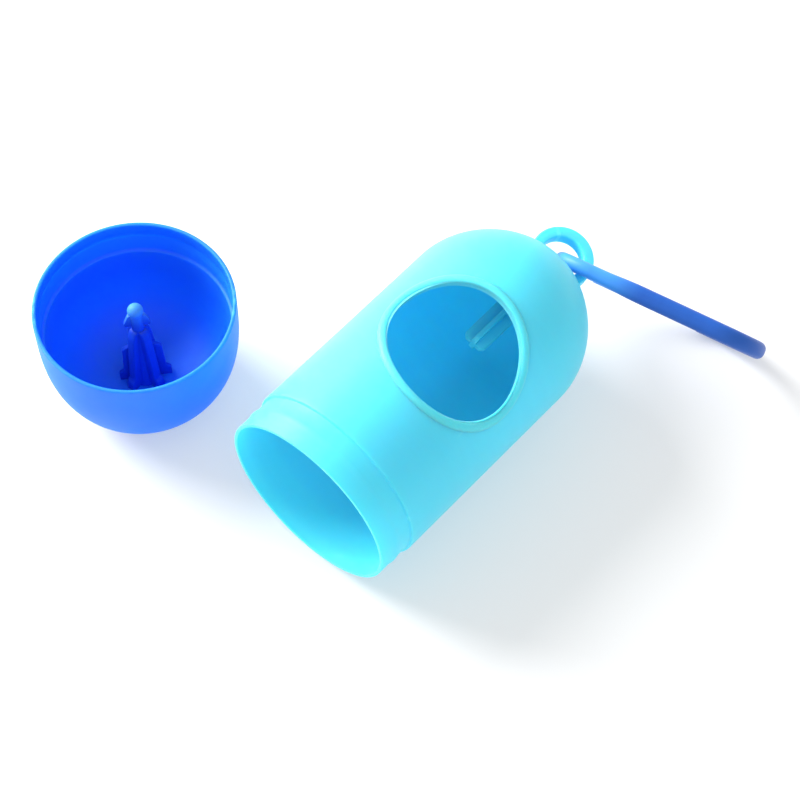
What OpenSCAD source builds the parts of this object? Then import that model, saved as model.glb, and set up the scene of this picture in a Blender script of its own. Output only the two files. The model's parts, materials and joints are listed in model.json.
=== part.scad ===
// Capsule-shaped dispenser for a roll of dog waste bags, laid out open.
// The barrel lies on its side, the cap stands beside it on its foot, and a
// spring-gate clip leans from the barrel's eye to the ground.
// Millimetres, Z up. The origin is the centre of the cap's foot, and +X runs
// along the barrel from its mouth to its dome.

/* [Barrel] */
// Outer radius of the barrel
body_r = 19.7; // [18.5:0.1:24]
// Length from the mouth to the top of the dome
barrel_len = 72.8; // [70:0.2:90]
// Wall thickness of the body and the dome
body_wall = 1.5; // [1.2:0.1:2.5]
// Height of the dome
dome_h = 20; // [16:0.5:24]
// Fullness of the dome, where 2 is an ellipse
dome_power = 1.88; // [1.6:0.02:2.6]

/* [Neck] */
// Outer radius of the neck that the cap pushes over
neck_r = 19.1; // [18:0.05:23.4]
// Length of the neck, from the mouth to the shoulder
neck_len = 7.9; // [6:0.1:10]
// Wall thickness of the neck
neck_wall = 1; // [0.8:0.1:1.2]
// Height of the snap bead round the neck
snap_h = 0.2; // [0.1:0.05:0.3]
// Distance from the mouth to the snap bead
snap_x = 4.2; // [3:0.1:5]

/* [Window] */
// Distance from the mouth to the window's centre
window_x = 36.1; // [33:0.1:45]
// Length of the window along the barrel
window_len = 26; // [16:0.5:28]
// Width of the window across the barrel
window_w = 27; // [16:0.5:30]
// Lean of the window's outline: shift along the barrel for each millimetre across
window_lean = 0.065; // [0:0.005:0.1]
// Turn of the window and the eye from straight up
window_turn = 17; // [-20:1:20]
// Radius of the rolled bead round the window
bead_r = 0.95; // [0.6:0.05:1.2]

/* [Eye] */
// Outer radius of the eye on the dome
eye_r = 6.6; // [6:0.1:8]
// Radius of the eye's hole
eye_hole_r = 4.35; // [4.2:0.05:5]
// Thickness of the eye
eye_t = 3.2; // [2:0.1:3.5]
// Distance of the eye's centre past the top of the dome
eye_out = 1.8; // [0.5:0.1:2.5]

/* [Roll post] */
// Length of the post inside the dome
post_len = 23.8; // [15:0.2:26]
// Reach of the post's ribs from the barrel's axis, at the free end
post_tip_r = 1.8; // [1.5:0.1:2.5]
// Reach of the post's ribs at the dome
post_root_r = 2.8; // [2:0.1:4]
// Thickness of the post's ribs
post_rib_t = 1.2; // [0.8:0.1:1.8]

/* [Cap] */
// Outer radius of the cap
cap_r = 20; // [19.8:0.05:24.3]
// Height of the cap
cap_h = 27.1; // [26:0.1:34]
// Height of the straight band below the rim
cap_band = 3.8; // [2:0.1:8]
// Fullness of the cap's bowl, where 2 is an ellipse
cap_power = 2.9; // [2:0.1:3.5]
// Thickness of the bowl
cap_wall = 1.5; // [1.2:0.1:2.5]
// Radius of the flat foot
foot_r = 5.5; // [4:0.5:8]
// Radial clearance of the cap on the neck
cap_gap = 0.1; // [0.05:0.05:0.2]

/* [Spindle] */
// Height of the ball's centre above the ground
ball_z = 25.2; // [20:0.1:26]
// Radius of the ball on the spindle
ball_r = 1.6; // [1.4:0.1:2]
// Height of the top of the main ribs
rib_top_z = 19.4; // [15:0.1:20]
// Reach of the thin fins
fin_r = 4.3; // [4.1:0.1:5]
// Reach of the fins' feet
fin_foot_r = 5.3; // [5.1:0.1:5.8]
// Turn of the spindle about its axis
spindle_turn = -37; // [-90:1:90]

/* [Clip] */
// Overall length of the clip
clip_len = 46.5; // [44:0.5:60]
// Outer radius of the clip's narrow end
clip_near_r = 8; // [7.6:0.1:9]
// Outer radius of the clip's wide end
clip_far_r = 11.5; // [10.5:0.1:13]
// Width of the clip's bar, in its own plane
bar_w = 3.2; // [3:0.1:3.6]
// Thickness of the clip
bar_t = 3.6; // [3.4:0.1:4.2]
// Thickness of the bar at the narrow end
near_t = 3; // [3:0.1:3.3]
// Radius of the gate's pin
pin_r = 0.8; // [0.7:0.05:0.9]
// Running clearance of the gate on its pin
pin_gap = 0.05; // [0.03:0.01:0.08]

/* [Layout] */
// Distance of the mouth from the cap's axis, along the barrel
mouth_x = -6.6; // [-10:0.1:10]
// Distance from the cap's axis to the barrel's axis
barrel_y = -52; // [-60:0.1:-46]
// Heading of the clip's long side, seen from above
clip_yaw = -78; // [-90:0.5:-70]
// Lean of the clip's plane
clip_tilt = -58; // [-65:0.5:-50]
// Slope of the clip within its plane
clip_slope = 16; // [15:0.5:16.5]
// Centre of the clip's narrow end
clip_at = [71.5, -57.5, 16.44];

/* [Hidden] */
$fn = 96;

aqua = "paleturquoise";
deep_blue = "royalblue";
clip_blue = "steelblue";
steel = "silver";

// Barrel
bore_r = neck_r - neck_wall;             // straight bore
dome_x = barrel_len - dome_h;            // where the dome starts
lip = 0.3;                               // rounding of the mouth's edge
shoulder = 0.35;                         // rounding of the shoulder
snap_foot = 0.7;                         // half length of the snap bead at its foot
snap_flat = 0.25;                        // half length of its top
curve_steps = 18;                        // facets along a dome's or bowl's curve
eye_x = barrel_len + eye_out;
edge = 0.5;                              // broken edge of the eye
cut = 1;                                 // how far a cutter runs past a face

// Window
window_power = 2.05;                     // all but an ellipse
bead_seat = 0.55;                        // how far the bead's centre lies off the cut, in radii
bead_sink = 0.45;                        // how far it lies below the surface, in radii
bead_rings = 72;
bead_sides = 10;

// Cap
socket_depth = neck_len + 0.2;           // the neck stops just off the ledge
ledge_z = cap_h - socket_depth;
groove_z = cap_h - neck_len + snap_x;    // takes the neck's snap bead
socket_r = neck_r + cap_gap;
bowl_r = cap_r - cap_wall;
floor_z = 1.6;                           // thickness of the cap's floor
rim_round = 0.25;

// Spindle
fin_t = 0.9;
main_rib_t = 1.9;
fin_top_z = 12.6;
fin_foot_z = 4.3;
lobe_low_z = 20.4;
lobe_top_z = 23.9;
lobe_r = 2.7;

// Clip, in its own frame: origin at the narrow end's centre, +X to the wide
// end, +Z along the clip's normal, the gate on the +Y side
arc_gap = clip_len - clip_near_r - clip_far_r;
near_c = clip_near_r - bar_w / 2;        // centreline radii
far_c = clip_far_r - bar_w / 2;
side_turn = asin((far_c - near_c) / arc_gap);
side_len = arc_gap * cos(side_turn);
slim = 0.05;                             // the straight bars are slimmer than the arcs, all round,
bar_run = 0.8;                           // and run this far into them
near_round = 1.4;                        // corner radii of the bar's sections
bar_round = 1.5;
gate_round = 1;
tongue_gap = 0.3;                        // gap at a tongue's tip
nose_x = 2.1;                            // end of the nose's full section
tongue_x = 4;                            // tip of the nose's tongue
tongue_y = -0.4;                         // its inner side, from the bar's centreline
tongue_w = 1.6;
tongue_t = 1.3;
gate_x = nose_x + tongue_gap;            // free end of the gate
gate_t = 3.2;
gate_w = 3;
pivot_back = 2.6;                        // from the pivot to the wide end's arc
pivot_x = side_len - pivot_back;
root_gap = 2.1;                          // from the pivot to the frame's full section
hinge_t = 1.9;                           // the frame's tongue at the pivot
hinge_r = 1.55;
side_gap = 0.1;                          // gap beside a tongue, on each side
spring_r = 0.68;                         // to the wire's centre
wire_r = 0.17;
spring_turns = 9;
spring_len = 8;
spring_x = pivot_x - root_gap - spring_len;
spring_bore_r = 1;

// A quarter of a superellipse, from (r, 0) to (0, h)
function quarter(r, h, power) = [
    for (i = [0 : curve_steps])
        let (a = 90 * i / curve_steps)
        [r * pow(cos(a), 2 / power), h * pow(sin(a), 2 / power)]
];

function reversed(list) = [for (i = [len(list) - 1 : -1 : 0]) list[i]];

function lifted(list, dy) = [for (p = list) [p[0], p[1] + dy]];

// A point of the window's edge in the plane square to its axis
function window_point(a) =
    let (
        along = window_len / 2 * sign(cos(a)) * pow(abs(cos(a)), 2 / window_power),
        across = window_w / 2 * sign(sin(a)) * pow(abs(sin(a)), 2 / window_power)
    )
    [along + window_lean * across, across];

// The same point carried up to the barrel's surface
function on_barrel(a) =
    let (p = window_point(a))
    [window_x + p[0], p[1], sqrt(body_r * body_r - p[1] * p[1])];

// Turns a profile drawn as (radius, distance from the mouth) about +X
module turned_on_x() {
    rotate([0, 90, 0]) rotate_extrude() children();
}

module in_barrel_frame() {
    translate([mouth_x, barrel_y, body_r]) rotate([window_turn, 0, 0]) children();
}

module cavity_profile() {
    polygon(concat(
        [[0, -cut], [bore_r, -cut]],
        lifted(quarter(bore_r, dome_h - body_wall, dome_power), dome_x)
    ));
}

module body_profile() {
    polygon(concat(
        [
            [0, 0], [neck_r - lip, 0], [neck_r, lip],
            [neck_r, snap_x - snap_foot], [neck_r + snap_h, snap_x - snap_flat],
            [neck_r + snap_h, snap_x + snap_flat], [neck_r, snap_x + snap_foot],
            [neck_r, neck_len], [body_r - shoulder, neck_len], [body_r, neck_len + shoulder]
        ],
        lifted(quarter(body_r, dome_h, dome_power), dome_x)
    ));
}

module window_cutter() {
    linear_extrude(body_r + 5)
        polygon([for (i = [0 : bead_rings - 1])
            [window_x, 0] + window_point(360 * i / bead_rings)]);
}

// Rolled bead: a round section carried along the window's edge
module window_bead() {
    ring = [for (i = [0 : bead_rings - 1]) on_barrel(360 * i / bead_rings)];
    points = [
        for (i = [0 : bead_rings - 1])
            let (
                ahead = ring[(i + 1) % bead_rings] - ring[(i + bead_rings - 1) % bead_rings],
                out = [0, ring[i][1], ring[i][2]] / body_r,
                aside = cross(ahead, out),
                off = aside / norm(aside),
                middle = ring[i] + bead_r * (bead_seat * off - bead_sink * out)
            )
            for (j = [0 : bead_sides - 1])
                let (b = 360 * (j + 0.5) / bead_sides)
                middle + bead_r * (out * sin(b) - off * cos(b))
    ];
    faces = [
        for (i = [0 : bead_rings - 1], j = [0 : bead_sides - 1])
            let (
                i2 = (i + 1) % bead_rings,
                j2 = (j + 1) % bead_sides,
                p = i * bead_sides + j,
                q = i * bead_sides + j2,
                r = i2 * bead_sides + j2,
                s = i2 * bead_sides + j
            )
            each [[p, q, r], [p, r, s]]
    ];
    polyhedron(points, faces);
}

// Flat ring on the dome, in the plane square to the window
module eye() {
    translate([eye_x, 0, 0]) rotate_extrude() polygon([
        [eye_hole_r, -eye_t / 2 + edge], [eye_hole_r + edge, -eye_t / 2],
        [eye_r - edge, -eye_t / 2], [eye_r, -eye_t / 2 + edge],
        [eye_r, eye_t / 2 - edge], [eye_r - edge, eye_t / 2],
        [eye_hole_r + edge, eye_t / 2], [eye_hole_r, eye_t / 2 - edge]
    ]);
}

// One of the two crossed webs of the post that holds the roll
module post_web() {
    tip_x = barrel_len - body_wall - post_len;
    root_x = barrel_len - body_wall + 0.5;
    translate([0, 0, -post_rib_t / 2]) linear_extrude(post_rib_t) polygon([
        [tip_x, -post_tip_r + 0.8], [tip_x + 0.8, -post_tip_r],
        [root_x - 6, -post_root_r + 0.5], [root_x, -post_root_r],
        [root_x, post_root_r], [root_x - 6, post_root_r - 0.5],
        [tip_x + 0.8, post_tip_r], [tip_x, post_tip_r - 0.8]
    ]);
}

module barrel() {
    color(aqua) in_barrel_frame() {
        difference() {
            union() {
                turned_on_x() body_profile();
                eye();
                window_bead();
            }
            turned_on_x() cavity_profile();
            window_cutter();
        }
        for (a = [0, 90])
            rotate([a, 0, 0]) post_web();
    }
}

// Bowl outline with its bottom cut off flat at radius flat_r, standing on z = 0
function bowl(r, h, flat_r) =
    let (
        power = cap_power,
        start = asin(pow(flat_r / r, power / 2)),
        depth = h / pow(cos(start), 2 / power)
    )
    [
        for (i = [0 : curve_steps])
            let (a = start + (90 - start) * i / curve_steps)
            [r * pow(sin(a), 2 / power), h - depth * pow(cos(a), 2 / power)]
    ];

module cap() {
    color(deep_blue) rotate_extrude() difference() {
        polygon(concat(
            [[0, 0]],
            bowl(cap_r, cap_h - cap_band, foot_r),
            [[cap_r, cap_h - rim_round], [cap_r - rim_round, cap_h], [0, cap_h]]
        ));
        polygon(concat(
            [[0, floor_z]],
            lifted(bowl(bowl_r, ledge_z - floor_z, foot_r), floor_z),
            [
                [socket_r, ledge_z],
                [socket_r, groove_z - snap_foot], [socket_r + snap_h, groove_z - snap_flat],
                [socket_r + snap_h, groove_z + snap_flat], [socket_r, groove_z + snap_foot],
                [socket_r, cap_h + cut], [0, cap_h + cut]
            ]
        ));
    }
}

// A web through the axis, drawn as (radius, height) on one side and mirrored
module web(side, thick) {
    rotate([90, 0, 0]) translate([0, 0, -thick / 2]) linear_extrude(thick)
        polygon(concat(side, [for (p = reversed(side)) [-p[0], p[1]]]));
}

module spindle() {
    main_rib = [
        [3.9, floor_z], [3.8, floor_z + 0.8], [3, 12], [2.35, rib_top_z - 2.4],
        [1.7, rib_top_z - 0.5], [1.2, rib_top_z]
    ];
    fin = [
        [fin_foot_r, floor_z], [fin_foot_r, fin_foot_z - 0.6], [fin_foot_r - 0.6, fin_foot_z],
        [fin_r, fin_foot_z + 0.4], [fin_r - 0.3, fin_top_z - 0.7],
        [fin_r - 0.9, fin_top_z], [1, fin_top_z + 1.6]
    ];
    lobe = [
        [0.9, lobe_low_z], [lobe_r - 0.2, lobe_low_z + 0.2], [lobe_r, lobe_low_z + 0.9],
        [lobe_r - 1, lobe_top_z]
    ];
    color(deep_blue) rotate([0, 0, spindle_turn]) {
        for (a = [0, 90])
            rotate([0, 0, a]) web(main_rib, main_rib_t);
        for (a = [0, 90])
            rotate([0, 0, a]) web(fin, fin_t);
        web(lobe, fin_t);
        rotate_extrude() polygon([
            [0, floor_z], [2.9, floor_z], [2.2, floor_z + 2], [1.3, rib_top_z],
            [1.2, ball_z], [0, ball_z]
        ]);
        translate([0, 0, ball_z]) sphere(ball_r);
    }
}

module in_clip_frame() {
    translate(clip_at) rotate([0, 0, clip_yaw]) rotate([clip_tilt, 0, 0])
        rotate([0, 0, clip_slope]) children();
}

// Along the gate's side: +X from the narrow end, the bar's centreline on Y = 0
module on_gate_side() {
    rotate([0, 0, side_turn]) translate([0, near_c, 0]) children();
}

// Rounded bar section, wide along X and thick along Y
module section(w, t, r) {
    corner_steps = 4;
    polygon([
        for (corner = [0 : 3], i = [0 : corner_steps])
            let (
                a = 90 * (corner + i / corner_steps),
                x = (corner == 0 || corner == 3 ? 1 : -1) * (w / 2 - r),
                y = (corner < 2 ? 1 : -1) * (t / 2 - r)
            )
            [x + r * cos(a), y + r * sin(a)]
    ]);
}

// Straight bar along +X from x0 to x1
module bar(x0, x1, w, t, r) {
    translate([x0, 0, 0]) rotate([90, 0, 90]) linear_extrude(x1 - x0) section(w, t, r);
}

// Straight bar of the frame, a little slimmer than the arcs that it runs into
module frame_bar(x0, x1, t, r) {
    bar(x0, x1, bar_w - 2 * slim, t - 2 * slim, r);
}

module clip_frame() {
    color(clip_blue) in_clip_frame() {
        // narrow end, nearly round in section
        rotate([0, 0, 90 + side_turn]) rotate_extrude(angle = 180 - 2 * side_turn)
            translate([near_c, 0]) section(bar_w, near_t, near_round);
        // wide end
        translate([arc_gap, 0, 0]) rotate([0, 0, -90 - side_turn])
            rotate_extrude(angle = 180 + 2 * side_turn)
            translate([far_c, 0]) section(bar_w, bar_t, bar_round);
        // back, opposite the gate
        rotate([0, 0, -side_turn]) translate([0, -near_c, 0])
            frame_bar(-bar_run, side_len + bar_run, bar_t, bar_round);
        on_gate_side() {
            // nose, with the tongue that stops the gate
            frame_bar(-bar_run, nose_x, near_t, near_round);
            translate([nose_x - tongue_w, tongue_y, -tongue_t / 2])
                cube([tongue_x - nose_x + tongue_w, tongue_w, tongue_t]);
            // root, with the tongue that carries the pin
            frame_bar(pivot_x + root_gap, side_len + bar_run, bar_t, bar_round);
            difference() {
                union() {
                    translate([pivot_x, -hinge_r, -hinge_t / 2])
                        cube([pivot_back, 2 * hinge_r - slim, hinge_t]);
                    translate([pivot_x, 0, -hinge_t / 2]) cylinder(hinge_t, r = hinge_r);
                }
                translate([pivot_x, 0, -bar_t]) cylinder(2 * bar_t, r = pin_r);
            }
        }
    }
}

module clip_gate() {
    slot_t = hinge_t + 2 * side_gap;
    catch_t = tongue_t + 2 * side_gap;
    color(clip_blue) in_clip_frame() on_gate_side() difference() {
        union() {
            bar(gate_x, pivot_x, gate_w, gate_t, gate_round);
            translate([pivot_x, 0, -gate_t / 2]) cylinder(gate_t, r = gate_w / 2);
        }
        // slot for the frame's tongue at the pivot
        translate([pivot_x, 0, -slot_t / 2]) cylinder(slot_t, r = hinge_r + tongue_gap);
        translate([pivot_x, -bar_w, -slot_t / 2]) cube([bar_w, 2 * bar_w, slot_t]);
        // hole for the pin
        translate([pivot_x, 0, -bar_t]) cylinder(2 * bar_t, r = pin_r + pin_gap);
        // catch for the nose's tongue, open outwards
        translate([gate_x - cut, tongue_y - side_gap / 2, -catch_t / 2])
            cube([tongue_x - gate_x + cut + tongue_gap, bar_w, catch_t]);
        // bore for the spring
        translate([spring_x, 0, 0]) rotate([0, 90, 0])
            cylinder(pivot_x - spring_x, r = spring_bore_r);
    }
}

module gate_pin() {
    color(steel) in_clip_frame() on_gate_side()
        translate([pivot_x, 0, -gate_t / 2]) cylinder(gate_t, r = pin_r);
}

// Compression spring in the gate: one wire swept round a helix
module gate_spring() {
    per_turn = 12;
    sides = 6;
    rings = spring_turns * per_turn;
    pitch = (spring_len - 2 * wire_r) / spring_turns;
    points = [
        for (i = [0 : rings])
            let (
                a = 360 * i / per_turn,
                out = [0, cos(a), sin(a)],
                at = [wire_r + pitch * i / per_turn, 0, 0] + out * spring_r
            )
            for (j = [0 : sides - 1])
                at + wire_r * (out * cos(360 * j / sides) + [1, 0, 0] * sin(360 * j / sides))
    ];
    wall = [
        for (i = [0 : rings - 1], j = [0 : sides - 1])
            let (
                j2 = (j + 1) % sides,
                p = i * sides + j,
                q = i * sides + j2
            )
            each [[p, q, q + sides], [p, q + sides, p + sides]]
    ];
    caps = [
        for (j = [1 : sides - 2])
            each [[0, j + 1, j], [rings * sides, rings * sides + j, rings * sides + j + 1]]
    ];
    color(steel) in_clip_frame() on_gate_side() translate([spring_x, 0, 0])
        polyhedron(points, concat(wall, caps));
}

barrel();
cap();
spindle();
clip_frame();
clip_gate();
gate_pin();
gate_spring();
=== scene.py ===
import json
from itertools import pairwise
from math import asin, cos, pi, radians, sin, sqrt, tau

import bpy
from bpy.props import FloatProperty, FloatVectorProperty, IntProperty, PointerProperty
from mathutils import Matrix, Vector


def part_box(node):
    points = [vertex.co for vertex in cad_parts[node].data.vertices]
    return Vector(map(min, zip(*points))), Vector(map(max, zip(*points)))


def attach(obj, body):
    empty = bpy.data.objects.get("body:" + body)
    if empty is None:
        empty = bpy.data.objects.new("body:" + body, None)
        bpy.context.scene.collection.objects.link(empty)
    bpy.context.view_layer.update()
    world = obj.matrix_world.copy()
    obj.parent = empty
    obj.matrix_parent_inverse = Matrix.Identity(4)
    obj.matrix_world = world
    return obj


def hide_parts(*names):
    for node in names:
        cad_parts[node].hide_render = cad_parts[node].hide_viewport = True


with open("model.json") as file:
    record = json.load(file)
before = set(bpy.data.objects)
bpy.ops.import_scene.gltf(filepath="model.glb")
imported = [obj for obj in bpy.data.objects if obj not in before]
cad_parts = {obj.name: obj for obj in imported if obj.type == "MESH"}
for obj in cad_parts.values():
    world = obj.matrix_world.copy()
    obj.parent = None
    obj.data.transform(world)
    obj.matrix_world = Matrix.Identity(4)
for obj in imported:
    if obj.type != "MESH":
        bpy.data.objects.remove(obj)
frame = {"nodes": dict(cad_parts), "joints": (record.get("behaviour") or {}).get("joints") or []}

bl_info = {
    "name": "Waste Bag Dispenser, Laid Out",
    "version": (1, 0, 0),
    "blender": (4, 5, 0),
    "location": "View3D > Sidebar > Dispenser",
    "description": "Models the barrel, cap, spindle and clip of an opened bag dispenser",
    "category": "Object",
}

MM = 0.001
MERGE_GAP = 0.001 * MM
SMOOTH_ANGLE = radians(32)
ROUNDED_ANGLE = radians(30)
BARREL_LOW, BARREL_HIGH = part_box("barrel")
_, CAP_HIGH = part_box("cap")
SPINDLE_LOW, SPINDLE_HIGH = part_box("spindle")
JOINTS = {joint["name"]: joint for joint in frame["joints"]}


# Settings

def length(name, description, millimetres):
    """A distance that the panel shows, given in millimetres."""
    return FloatProperty(name=name, description=description, default=millimetres * MM,
                         min=0.0, subtype="DISTANCE", unit="LENGTH", precision=5)


def turn(name, description, angle):
    """An angle that the panel shows, given in degrees."""
    return FloatProperty(name=name, description=description, default=radians(angle),
                         subtype="ANGLE", unit="ROTATION")


def amount(name, description, value, high=1.0):
    """A plain number from 0 to high."""
    return FloatProperty(name=name, description=description, default=value, min=0.0, max=high)


def colour(name, description, red, green, blue):
    """A linear colour that the panel shows."""
    return FloatVectorProperty(name=name, description=description, subtype="COLOR", size=4,
                               min=0.0, max=1.0, default=(red, green, blue, 1.0))


class BarrelSettings(bpy.types.PropertyGroup):
    """Sizes of the barrel with its window, eye and post."""
    body_radius: length("Body radius", "Outer radius of the body",
                        (BARREL_HIGH.y - BARREL_LOW.y) / 2 / MM)
    wall: length("Wall", "Wall thickness of the body and the dome", 1.5)
    dome_height: length("Dome height", "Length of the domed end", 20)
    dome_power: amount("Dome fullness", "2 is an ellipse, more is squarer", 1.88, 4)
    neck_radius: length("Neck radius", "Outer radius of the neck", 19.1)
    neck_wall: length("Neck wall", "Wall thickness of the neck", 1.0)
    neck_length: length("Neck length", "From the mouth to the shoulder", 7.9)
    snap_height: length("Snap bead height", "Height of the bead round the neck", 0.2)
    snap_place: length("Snap bead place", "From the mouth to the bead", 4.2)
    window_place: length("Window place", "From the mouth to the window's centre", 36.1)
    window_length: length("Window length", "Along the barrel", 26)
    window_width: length("Window width", "Across the barrel", 27)
    window_power: amount("Window fullness", "2 is an ellipse, more is squarer", 2.05, 4)
    window_lean: amount("Window lean", "Shift along the barrel for each unit across", 0.065)
    window_turn: turn("Window turn", "From straight up, with the eye", 17)
    bead_radius: length("Bead radius", "Radius of the rolled bead round the window", 1.08)
    bead_seat: length("Bead seat", "From the window's edge out to the bead's centre", 0.72)
    bead_sink: length("Bead sink", "Depth of the bead's centre below the surface", 0.5)
    eye_radius: length("Eye radius", "Outer radius of the eye", 6.6)
    eye_hole: length("Eye hole radius", "Radius of the eye's hole", 4.35)
    eye_thickness: length("Eye thickness", "Thickness of the eye", 3.2)
    eye_out: length("Eye reach", "From the dome's top to the eye's centre", 1.8)
    eye_round: length("Eye rounding", "Rounding of the eye's edges", 0.38)
    eye_fillet: length("Eye fillet", "Radius where the eye's legs meet the dome", 1.3)
    post_length: length("Post length", "Length of the roll post inside the dome", 23.8)
    post_tip: length("Post tip", "Reach of the post's ribs at the free end", 2.55)
    post_root: length("Post root", "Reach of the post's ribs at the dome", 3.2)
    post_rib: length("Post rib", "Thickness of the post's ribs", 1.15)
    segments: IntProperty(name="Segments", description="Facets round the barrel",
                          default=224, min=24, max=512)
    plastic: colour("Plastic", "Colour of the barrel's plastic", 0.105, 0.715, 0.95)
    # painted highlight: the lighter colour that rounded and thin edges are mixed towards, standing
    # in for edge highlights and light shining through
    edge: colour("Thin edges", "Colour where the plastic is thin", 0.24, 0.88, 0.98)


class CapSettings(bpy.types.PropertyGroup):
    """Sizes of the cap."""
    radius: length("Radius", "Outer radius of the cap", CAP_HIGH.x / MM)
    height: length("Height", "Height of the cap", CAP_HIGH.z / MM)
    band: length("Band", "Height of the straight band below the rim", 3.8)
    power: amount("Bowl fullness", "2 is an ellipse, more is squarer", 2.9, 4)
    wall: length("Wall", "Thickness of the bowl", 1.5)
    foot: length("Foot radius", "Radius of the flat foot", 5.5)
    floor: length("Floor", "Thickness of the cap's floor", 1.6)
    socket_gap: length("Socket gap", "Radial clearance on the neck", 0.1)
    segments: IntProperty(name="Segments", description="Facets round the cap",
                          default=224, min=24, max=512)
    plastic: colour("Plastic", "Colour of the cap's plastic", 0.008, 0.185, 0.80)
    # painted highlight: the lighter colour that rounded and thin edges are mixed towards, standing
    # in for edge highlights and light shining through
    edge: colour("Thin edges", "Colour where the plastic is thin", 0.08, 0.42, 0.98)


class SpindleSettings(bpy.types.PropertyGroup):
    """Sizes of the spindle in the cap."""
    ball_radius: length("Ball radius", "Radius of the ball on top", 1.6)
    rib_top: length("Rib top", "Height of the main ribs above the ground", 19.4)
    rib_thickness: length("Rib thickness", "Thickness of the main ribs", 1.9)
    fin_reach: length("Fin reach", "Reach of the thin fins", 4.3)
    fin_foot: length("Fin foot", "Reach of the fins' feet", 5.3)
    fin_thickness: length("Fin thickness", "Thickness of the fins and lobes", 0.9)
    lobe_reach: length("Lobe reach", "Reach of the lobes below the ball", 2.7)
    foot_reach: length("Foot reach", "Reach of the main ribs' feet", 4.6)
    foot_top: length("Foot top", "Height of the main ribs' feet above the ground", 4.1)
    heading: turn("Heading", "Turn of the main ribs about the axis", 1)
    fin_heading: turn("Fin heading", "Turn of the thin fins and lobes about the axis", -39)
    # painted shade: the spindle is darker than the cap's own blue, standing in for the shade deep
    # in the cap's bowl
    plastic: colour("Plastic", "Colour of the spindle, deeper than the bowl", 0.004, 0.052, 0.55)
    # painted highlight: the lighter colour of the ball and the rounded edges
    edge: colour("Thin edges", "Colour of the ball and the rounded edges", 0.05, 0.26, 0.78)


class ClipSettings(bpy.types.PropertyGroup):
    """Sizes of the spring-gate clip."""
    length: length("Length", "Overall length", 46.5)
    near_radius: length("Near radius", "Outer radius of the narrow end", 8)
    far_radius: length("Far radius", "Outer radius of the wide end", 11.5)
    bar_width: length("Bar width", "In the clip's own plane", 3.2)
    bar_thickness: length("Bar thickness", "Across the clip's plane", 3.6)
    near_thickness: length("Near thickness", "Of the bar at the narrow end", 3.0)
    gate_width: length("Gate width", "In the clip's own plane", 3.0)
    gate_thickness: length("Gate thickness", "Across the clip's plane", 3.2)
    pin_radius: length("Pin radius", "Radius of the gate's pin", 0.8)
    yaw: turn("Yaw", "Heading of the clip's long side, seen from above", -78)
    tilt: turn("Tilt", "Lean of the clip's plane", -58)
    slope: turn("Slope", "Slope of the clip within its plane", 16)
    plastic: colour("Plastic", "Colour of the clip's plastic", 0.016, 0.105, 0.47)
    # painted highlight: the lighter colour that rounded edges are mixed towards, standing in for
    # edge highlights
    edge: colour("Thin edges", "Colour along rounded edges", 0.05, 0.22, 0.78)
    # painted light: the paler colour at the narrow end stands in for the highlight and light
    # shining through there
    pale: colour("Pale end", "Colour of the thinner end, near the barrel", 0.07, 0.34, 0.90)


class StageSettings(bpy.types.PropertyGroup):
    """Camera, floor and light."""
    azimuth: turn("Azimuth", "The camera's place round the object", -47.9)
    elevation: turn("Elevation", "The camera's height above the horizon", 58.895)
    roll: turn("Roll", "The camera's roll", -0.24)
    distance: length("Distance", "From the camera to the point that it looks at", 479.57)
    target: FloatVectorProperty(name="Target", description="The point on the floor in mid-picture",
                                size=3, subtype="XYZ", unit="LENGTH",
                                default=(30.69 * MM, -42.03 * MM, 0.0))
    lens: FloatProperty(name="Lens", description="Focal length in millimetres on 36 mm",
                        default=105.97, min=20, max=300)
    key_power: FloatProperty(name="Key light", description="Power in watts", default=8.2,
                             subtype="POWER", unit="POWER")
    fill_power: FloatProperty(name="Fill light", description="Power in watts", default=0.35,
                              subtype="POWER", unit="POWER")
    sky: amount("Sky", "Strength of the even light from all round", 0.72, 5)
    glow: amount("Floor glow", "Light of the floor itself, which softens the shadows", 0.58)
    floor: colour("Floor", "Colour of the floor", 0.60, 0.60, 0.60)


def settings():
    """The scene's settings for all pieces."""
    return bpy.context.scene.dispenser


class DispenserSettings(bpy.types.PropertyGroup):
    """All settings of the dispenser."""
    barrel: PointerProperty(type=BarrelSettings)
    cap: PointerProperty(type=CapSettings)
    spindle: PointerProperty(type=SpindleSettings)
    clip: PointerProperty(type=ClipSettings)
    stage: PointerProperty(type=StageSettings)


# Modelling helpers

def deselect():
    """Leaves edit mode with nothing selected."""
    if bpy.context.mode != "OBJECT":
        bpy.ops.object.mode_set(mode="OBJECT")
    bpy.ops.object.select_all(action="DESELECT")


def pick(piece):
    """Makes the piece the one selected and active object."""
    deselect()
    piece.select_set(True)
    bpy.context.view_layer.objects.active = piece


def edit(piece):
    """Opens the piece in edit mode with all of it selected."""
    pick(piece)
    bpy.ops.object.mode_set(mode="EDIT")
    bpy.ops.mesh.select_all(action="SELECT")


def push(offset):
    """Extrudes what is selected by offset."""
    bpy.ops.mesh.extrude_region_move(TRANSFORM_OT_translate={"value": offset})


def draw_line(name, points):
    """Draws a line vertex by vertex and stays in edit mode."""
    deselect()
    bpy.ops.mesh.primitive_plane_add(size=MM, location=points[0])
    piece = bpy.context.object
    piece.name = piece.data.name = name
    bpy.ops.object.mode_set(mode="EDIT")
    bpy.ops.mesh.merge(type="CENTER")
    for start, end in pairwise(points):
        push(end - start)
    return piece


def lathe(name, profile, axis, segments):
    """Spins a line of points about an axis through the origin into a closed skin."""
    piece = draw_line(name, profile)
    bpy.ops.mesh.select_all(action="SELECT")
    bpy.ops.mesh.spin(steps=segments, angle=tau, center=(0, 0, 0), axis=axis)
    close(piece)
    return piece


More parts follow.
